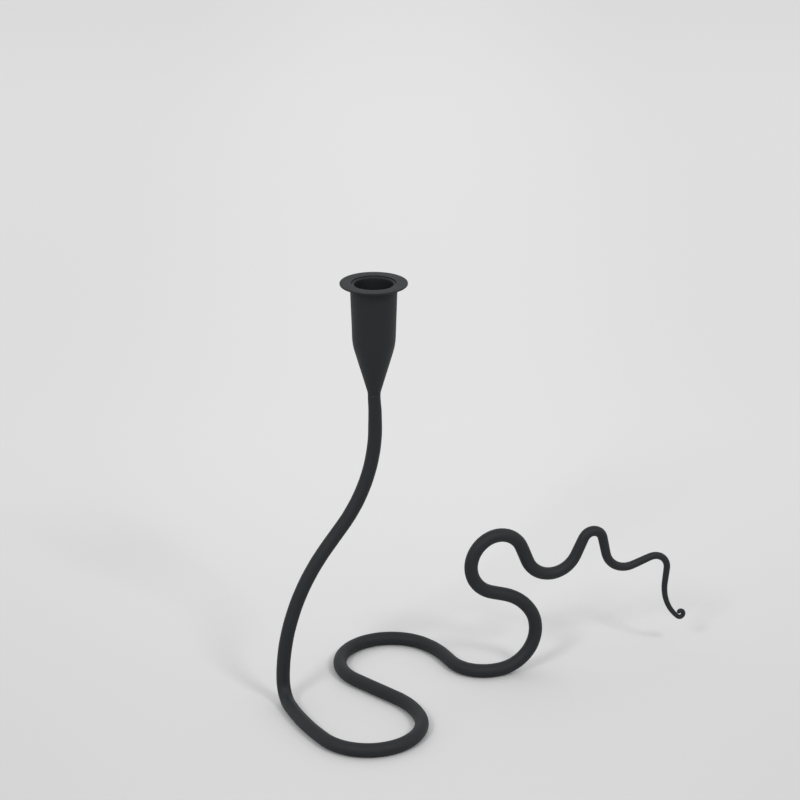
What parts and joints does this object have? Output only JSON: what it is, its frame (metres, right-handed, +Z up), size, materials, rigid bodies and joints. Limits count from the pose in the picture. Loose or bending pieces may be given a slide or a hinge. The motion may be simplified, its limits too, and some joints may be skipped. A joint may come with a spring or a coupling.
{
  "type": "serpentine candle holder",
  "caption": "Free-standing candle holder: a round bar bent into a serpentine foot, a swaying stem and a waving tapered tail, topped by a candle cup with a flat drip ring.",
  "frame": {"origin": "on the floor, under the middle of the holder's bounding box", "axes": "+Z up along the candle bore, +X towards the tip of the tail, +Y away from the front bowl of the foot"},
  "size_m": [0.2528, 0.1486, 0.2596],
  "materials": {
    "black_coat": "matte"
  },
  "bodies": {
    "root": {"bent_bar": "black_coat", "candle_cup": "black_coat", "drip_ring": "black_coat", "neck_weld": "black_coat", "ring_weld": "black_coat"}
  },
  "joints": []
}
